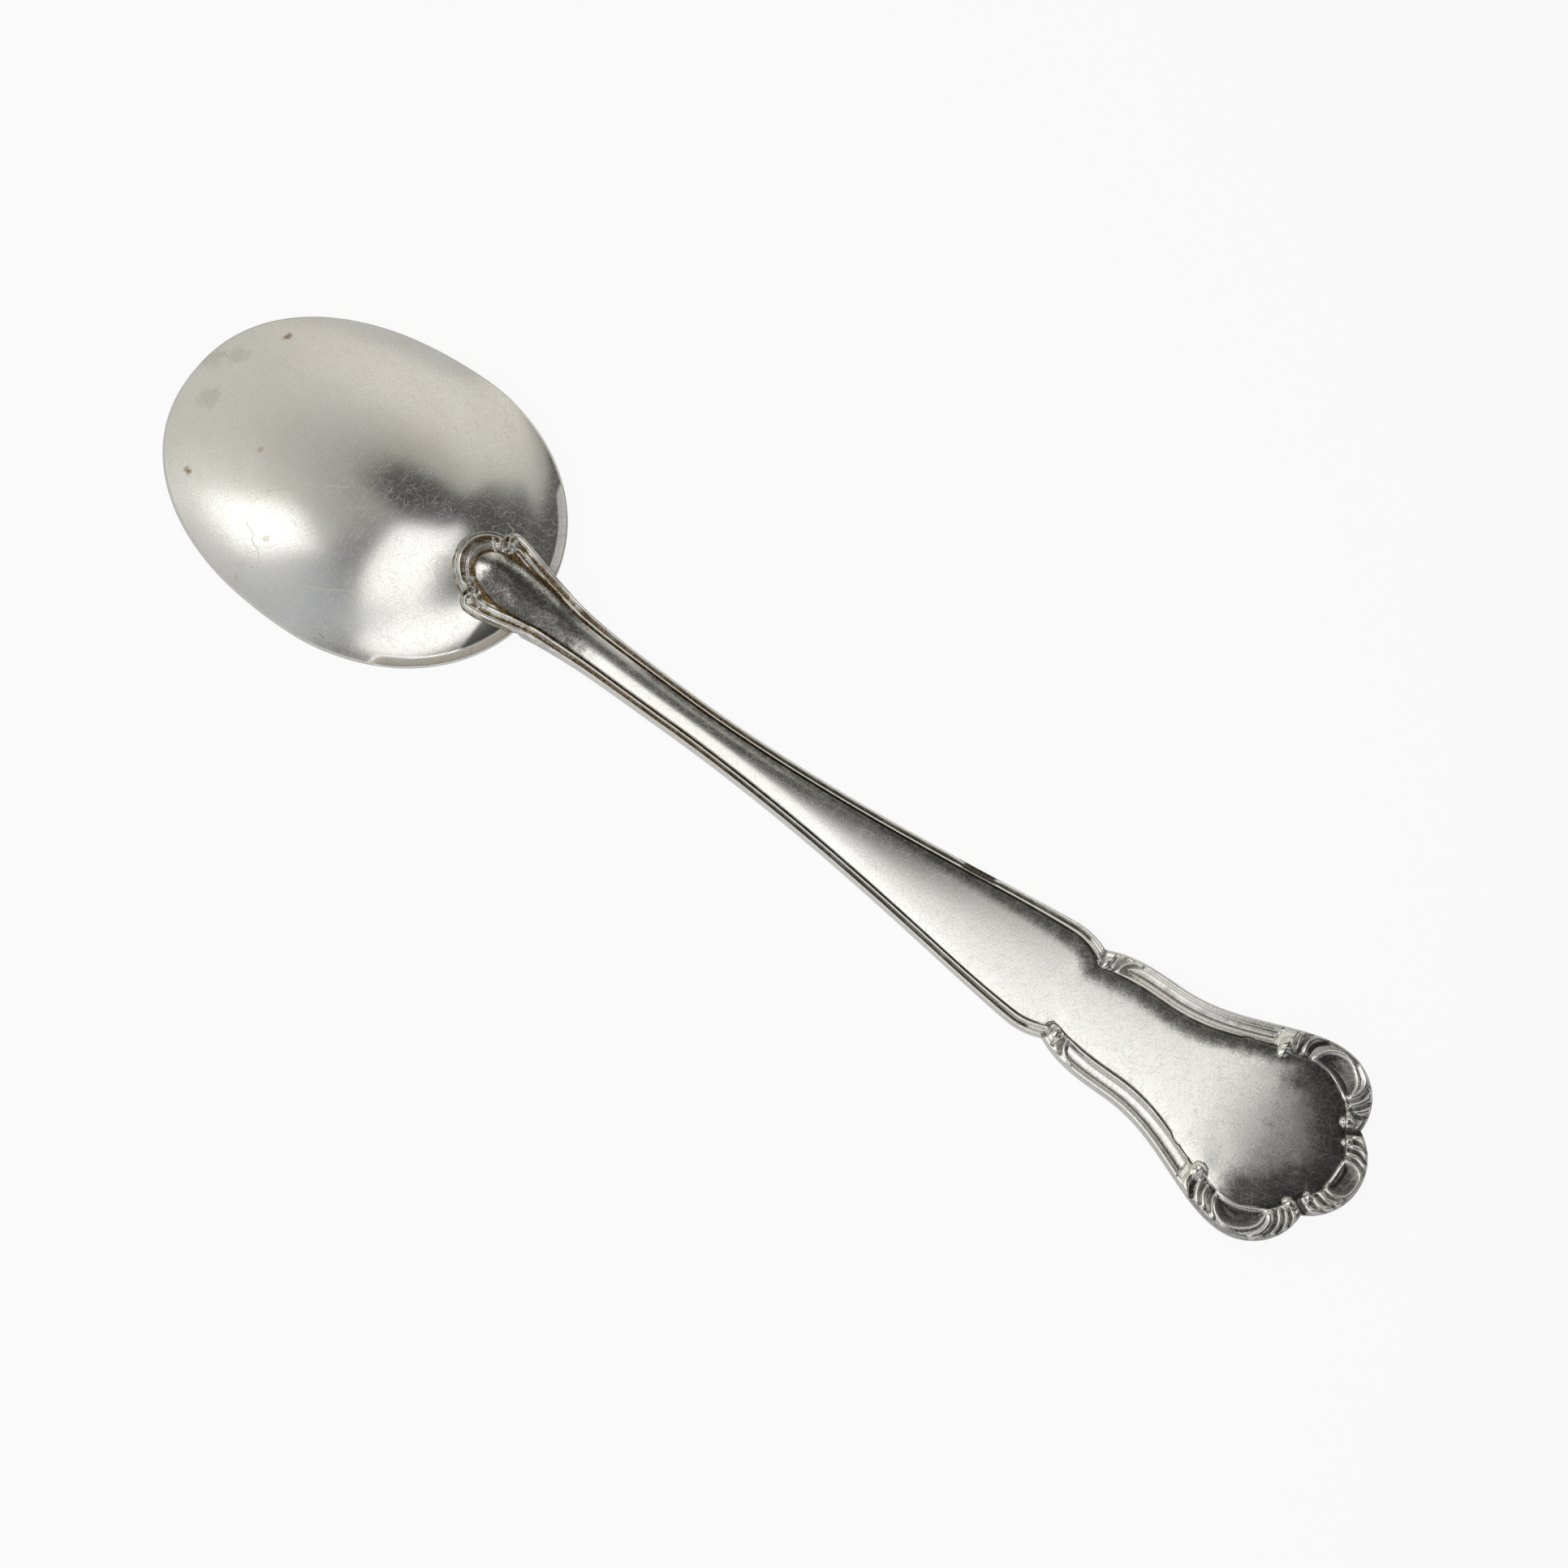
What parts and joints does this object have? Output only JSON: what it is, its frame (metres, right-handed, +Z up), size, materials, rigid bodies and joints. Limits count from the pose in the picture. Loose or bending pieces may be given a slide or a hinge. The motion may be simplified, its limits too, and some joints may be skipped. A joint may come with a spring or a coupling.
{
  "type": "teaspoon",
  "caption": "Silver teaspoon lying face down, with an egg-shaped bowl, a lapped three-lobed heel and a reeded stem that flares to a scalloped terminal.",
  "frame": {"origin": "under the middle of the spoon's length, on the surface that it rests on", "axes": "+X from the bowl's tip to the end of the handle, +Z up out of the spoon's back, and Y = 0 the plane of symmetry"},
  "size_m": [0.14, 0.0322, 0.0092],
  "materials": {
    "silver_bowl": "worn soft-polished silver with fine scratches",
    "silver_handle": "worn soft-polished silver, tarnished brown in the recesses",
    "solder": "tarnished silver solder"
  },
  "bodies": {
    "root": {"bowl": "silver_bowl", "handle": "silver_handle", "solder_film": "solder"}
  },
  "joints": []
}
